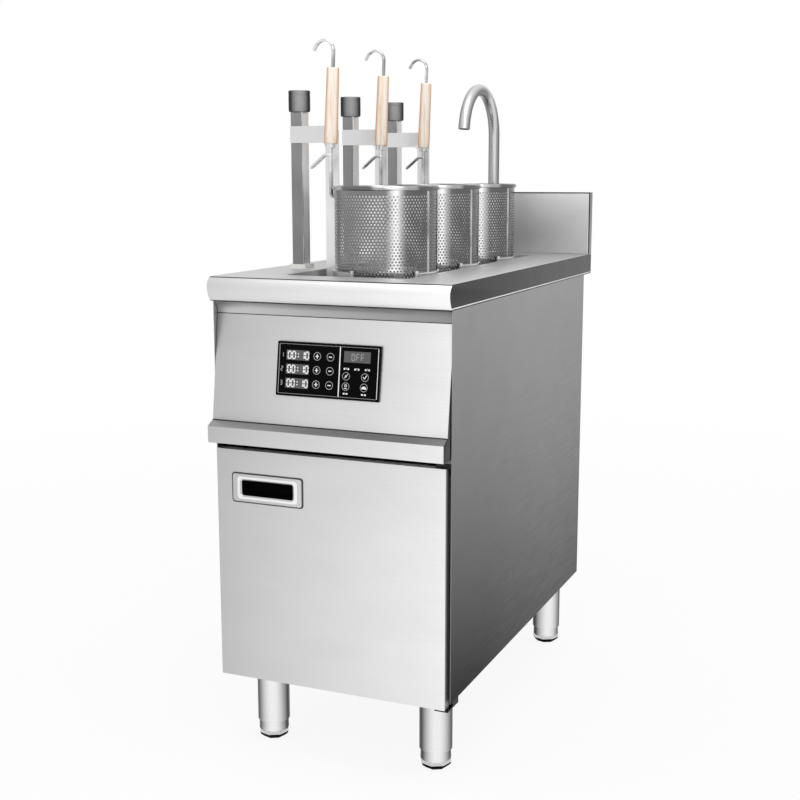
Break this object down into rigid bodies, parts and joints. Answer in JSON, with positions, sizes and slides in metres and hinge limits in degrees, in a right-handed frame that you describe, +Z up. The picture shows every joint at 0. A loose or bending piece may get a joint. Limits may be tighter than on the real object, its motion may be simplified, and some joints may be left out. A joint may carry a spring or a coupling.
{
  "type": "pasta cooker",
  "caption": "Free-standing electric pasta cooker: steel cabinet with a boiling tank, powered posts that lift round perforated baskets, swivelling filling spout, hinged door and levelling feet.",
  "frame": {"origin": "on the floor, below the middle of the overall width and depth", "axes": "+X to the right seen from the door, +Y to the back, +Z up"},
  "size_m": [0.4, 0.785, 1.1377],
  "materials": {
    "worktop_steel": "satin brushed along the depth",
    "side_steel": "satin brushed",
    "front_steel": "satin brushed across the front",
    "frame_steel": "zinc coated",
    "touch_glass": "black gloss",
    "control_plastic": "moulded",
    "pull_steel": "satin",
    "hinge_steel": "zinc coated",
    "magnet_plastic": "moulded",
    "tank_steel": "brushed",
    "heater_steel": "oxidised steel",
    "pipe_steel": "plain",
    "valve_brass": "plain",
    "lever_red": "dipped",
    "box_paint": "powder coat",
    "parts_plastic": "moulded",
    "gland_plastic": "moulded",
    "fill_plastic": "moulded",
    "faucet_steel": "satin tube",
    "leg_steel": "satin",
    "foot_zinc": "cast, satin",
    "collar_nylon": "moulded",
    "post_steel": "brushed along its length",
    "cap_rubber": "matt",
    "flag_steel": "brushed",
    "actuator_paint": "powder coat",
    "basket_steel": "perforated, bright",
    "wire_steel": "polished",
    "grip_wood": "turned, bare"
  },
  "bodies": {
    "cabinet": {"worktop": "worktop_steel", "splashback": "side_steel", "left_side_panel": "side_steel", "right_side_panel": "side_steel", "back_panel": "side_steel", "bottom_panel": "side_steel", "base_frame": "frame_steel", "top_frame": "frame_steel", "front_fascia": "front_steel", "front_ledge": "front_steel", "touch_glass": "touch_glass", "control_unit": "control_plastic", "door_hinges": "hinge_steel", "door_magnet": "magnet_plastic", "tank": "tank_steel", "tank_grid": "tank_steel", "heating_tubes": "heater_steel", "overflow_pipe": "pipe_steel", "drain_pipe": "pipe_steel", "drain_valve": "valve_brass", "thermostat_probe": "pipe_steel", "power_box": "box_paint", "power_parts": "parts_plastic", "cable_gland": "gland_plastic", "fill_valve": "fill_plastic", "faucet_base": "faucet_steel", "leg_tubes": "leg_steel", "guide_collars": "collar_nylon", "lift_guide_rail": "frame_steel", "lift_actuators": "actuator_paint"},
    "door": {"door_skin": "front_steel", "door_liner": "side_steel", "door_pull": "pull_steel"},
    "valve_lever": {"drain_lever": "lever_red"},
    "spout": {"faucet_spout": "faucet_steel"},
    "foot_1": {"level_foot_1": "foot_zinc"},
    "foot_2": {"level_foot_2": "foot_zinc"},
    "foot_3": {"level_foot_3": "foot_zinc"},
    "foot_4": {"level_foot_4": "foot_zinc"},
    "lift_1": {"lift_post_1": "post_steel", "post_cap_1": "cap_rubber", "lift_flag_1": "flag_steel", "cradle_1": "flag_steel"},
    "pasta_basket_1": {"basket_1": "basket_steel", "basket_handle_1": "wire_steel", "basket_grip_1": "grip_wood"},
    "lift_2": {"lift_post_2": "post_steel", "post_cap_2": "cap_rubber", "lift_flag_2": "flag_steel", "cradle_2": "flag_steel"},
    "pasta_basket_2": {"basket_2": "basket_steel", "basket_handle_2": "wire_steel", "basket_grip_2": "grip_wood"},
    "lift_3": {"lift_post_3": "post_steel", "post_cap_3": "cap_rubber", "lift_flag_3": "flag_steel", "cradle_3": "flag_steel"},
    "pasta_basket_3": {"basket_3": "basket_steel", "basket_handle_3": "wire_steel", "basket_grip_3": "grip_wood"}
  },
  "joints": [
    {"name": "door_hinge", "type": "hinge", "parent": "cabinet", "child": "door", "pos_m": [0.1845, -0.36542, 0.319], "axis": [0, 0, 1], "range_deg": [0, 110]},
    {"name": "valve_lever_turn", "type": "hinge", "parent": "cabinet", "child": "valve_lever", "pos_m": [0.06, -0.2865, 0.44], "axis": [0, -1, 0], "range_deg": [0, 90]},
    {"name": "spout_swivel", "type": "hinge", "parent": "cabinet", "child": "spout", "pos_m": [0.018, 0.3304, 0.79], "axis": [0, 0, 1], "range_deg": [-15, 90]},
    {"name": "foot_1_turn", "type": "hinge", "parent": "cabinet", "child": "foot_1", "pos_m": [-0.146, -0.2895, 0.031], "axis": [0, 0, 1], "range_deg": [-1080, 1080]},
    {"name": "foot_2_turn", "type": "hinge", "parent": "cabinet", "child": "foot_2", "pos_m": [0.146, -0.2895, 0.031], "axis": [0, 0, 1], "range_deg": [-1080, 1080]},
    {"name": "foot_3_turn", "type": "hinge", "parent": "cabinet", "child": "foot_3", "pos_m": [-0.146, 0.3145, 0.031], "axis": [0, 0, 1], "range_deg": [-1080, 1080]},
    {"name": "foot_4_turn", "type": "hinge", "parent": "cabinet", "child": "foot_4", "pos_m": [0.146, 0.3145, 0.031], "axis": [0, 0, 1], "range_deg": [-1080, 1080]},
    {"name": "lift_1_slide", "type": "slide", "parent": "cabinet", "child": "lift_1", "axis": [0, 0, 1], "range_m": [-0.13, 0]},
    {"name": "basket_1_lift_off", "type": "slide", "parent": "lift_1", "child": "pasta_basket_1", "axis": [0, 0, 1], "range_m": [0, 0.085]},
    {"name": "lift_2_slide", "type": "slide", "parent": "cabinet", "child": "lift_2", "axis": [0, 0, 1], "range_m": [-0.13, 0]},
    {"name": "basket_2_lift_off", "type": "slide", "parent": "lift_2", "child": "pasta_basket_2", "axis": [0, 0, 1], "range_m": [0, 0.085]},
    {"name": "lift_3_slide", "type": "slide", "parent": "cabinet", "child": "lift_3", "axis": [0, 0, 1], "range_m": [-0.13, 0]},
    {"name": "basket_3_lift_off", "type": "slide", "parent": "lift_3", "child": "pasta_basket_3", "axis": [0, 0, 1], "range_m": [0, 0.085]}
  ]
}
